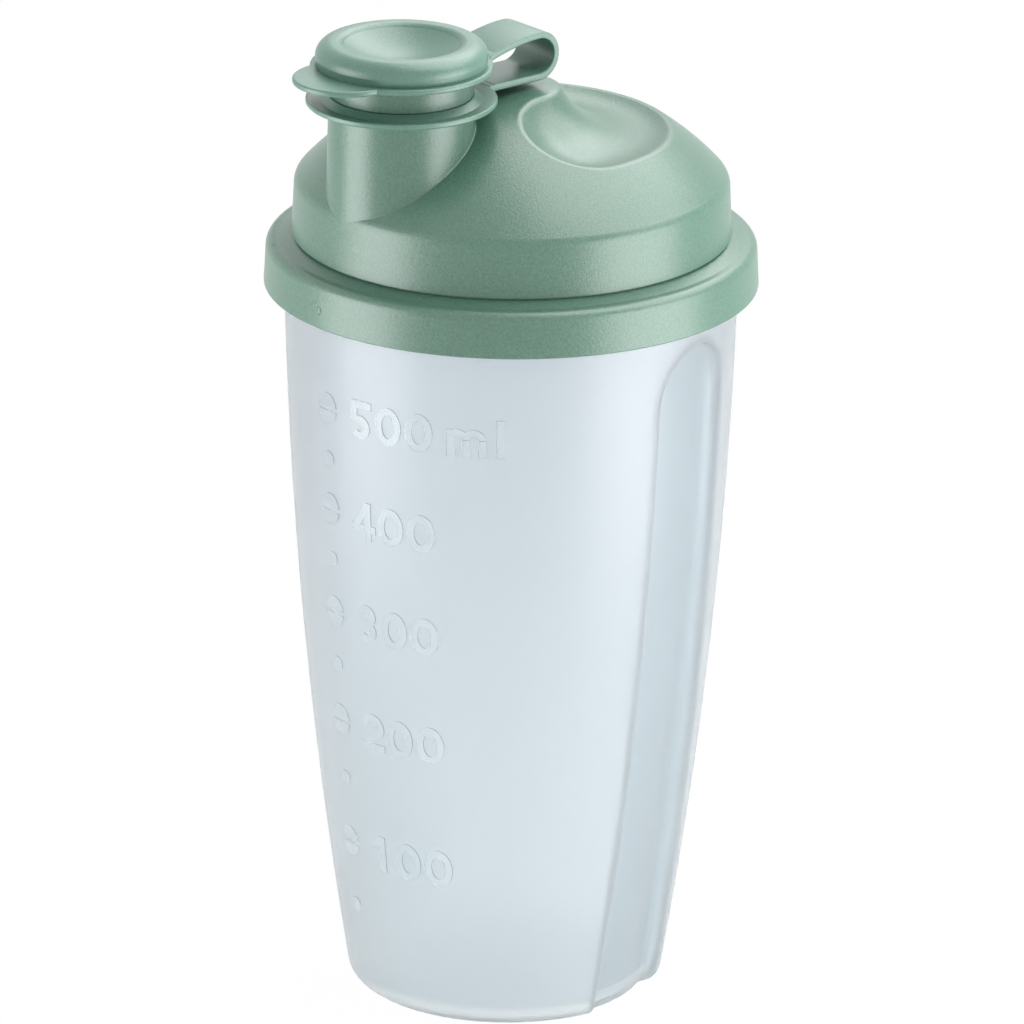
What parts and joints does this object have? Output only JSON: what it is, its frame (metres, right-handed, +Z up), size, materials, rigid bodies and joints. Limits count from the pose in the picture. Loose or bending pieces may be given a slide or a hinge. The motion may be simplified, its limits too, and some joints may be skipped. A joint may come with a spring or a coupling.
{
  "type": "salad dressing shaker",
  "caption": "Graduated shaker beaker with finger grips, screw-on domed lid, mixing sieve and pouring spout closed by a captive stopper.",
  "frame": {"origin": "centre of the beaker's flat base", "axes": "+Z up along the beaker's axis, -Y towards the pouring spout, +X to the right seen from the spout's side"},
  "size_m": [0.0942, 0.0977, 0.1943],
  "materials": {
    "frosted_plastic": "milky translucent polypropylene",
    "green_plastic": "satin, fine grain",
    "stopper_plastic": "smooth soft polyethylene",
    "sieve_plastic": "satin",
    "seal_rubber": "soft silicone"
  },
  "bodies": {
    "vessel": {"beaker": "frosted_plastic"},
    "carrier": {"lid_seal": "seal_rubber"},
    "closure": {"lid": "green_plastic"},
    "insert": {"mixing_sieve": "sieve_plastic"},
    "swivel": {"retaining_ring": "stopper_plastic", "stopper_strap": "stopper_plastic"},
    "stopper": {"stopper_cap": "stopper_plastic"}
  },
  "joints": [
    {"name": "lid_lift", "type": "slide", "parent": "vessel", "child": "carrier", "axis": [0, 0, 1], "range_m": [0, 0.00605]},
    {"name": "lid_turn", "type": "hinge", "parent": "carrier", "child": "closure", "pos_m": [0, 0, 0.15], "axis": [0, 0, 1], "range_deg": [0, 360]},
    {"name": "sieve_pull", "type": "slide", "parent": "closure", "child": "insert", "axis": [0, 0, -1], "range_m": [0, 0.006]},
    {"name": "ring_swivel", "type": "hinge", "parent": "closure", "child": "swivel", "pos_m": [0, -0.0272, 0.183], "axis": [0, 0, 1], "continuous": true},
    {"name": "stopper_swing", "type": "hinge", "parent": "swivel", "child": "stopper", "pos_m": [0, 0.002, 0.18697], "axis": [-1, 0, 0], "range_deg": [0, 170], "deforming": ["stopper_strap"]}
  ],
  "couplings": [
    {"joint": "lid_lift", "follows": "lid_turn", "m_per_rad": 0.00095493}
  ]
}
